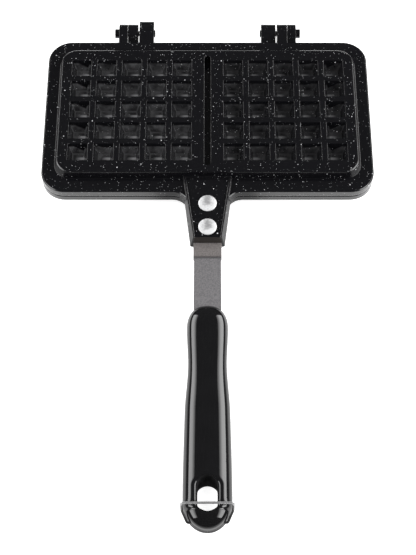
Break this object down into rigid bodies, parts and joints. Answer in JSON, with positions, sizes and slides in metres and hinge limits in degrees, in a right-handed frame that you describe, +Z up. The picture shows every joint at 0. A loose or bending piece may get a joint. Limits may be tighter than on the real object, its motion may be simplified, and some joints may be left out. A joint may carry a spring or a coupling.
{
  "type": "stovetop waffle iron",
  "caption": "Hinged cast waffle iron with square studs, riveted steel straps, moulded half grips and a wire bail that locks the grips at the tip.",
  "frame": {"origin": "On the surface that the closed iron lies on, under the middle of its overall length, from grip tip to hinge barrels", "axes": "+Y along the iron from the grips to the hinge, +X to the right seen from the grips, +Z up"},
  "size_m": [0.24, 0.404, 0.0265],
  "materials": {
    "coated_casting": "cast aluminium under a gloss black speckled non-stick coat",
    "strap_steel": "grey satin steel strip",
    "rivet_aluminium": "bright solid aluminium",
    "grip_plastic": "polished black phenolic",
    "pin_steel": "blackened steel",
    "screw_steel": "zinc-plated steel",
    "bail_wire": "bright plated wire"
  },
  "bodies": {
    "base": {"lower_plate": "coated_casting", "lower_strap": "strap_steel", "lower_rivets": "rivet_aluminium", "lower_grip": "grip_plastic", "lower_grip_screw": "screw_steel", "left_hinge_pin": "pin_steel", "right_hinge_pin": "pin_steel"},
    "lid": {"upper_plate": "coated_casting", "upper_strap": "strap_steel", "upper_rivets": "rivet_aluminium", "upper_grip": "grip_plastic", "upper_grip_screw": "screw_steel"},
    "bail": {"locking_bail": "bail_wire"}
  },
  "joints": [
    {"name": "lid_hinge", "type": "hinge", "parent": "base", "child": "lid", "pos_m": [0, 0.1948, 0.0125], "axis": [-1, 0, 0], "range_deg": [0, 180]},
    {"name": "bail_swing", "type": "hinge", "parent": "lid", "child": "bail", "pos_m": [0, -0.1965, 0.0151], "axis": [1, 0, 0], "range_deg": [0, 224]}
  ]
}
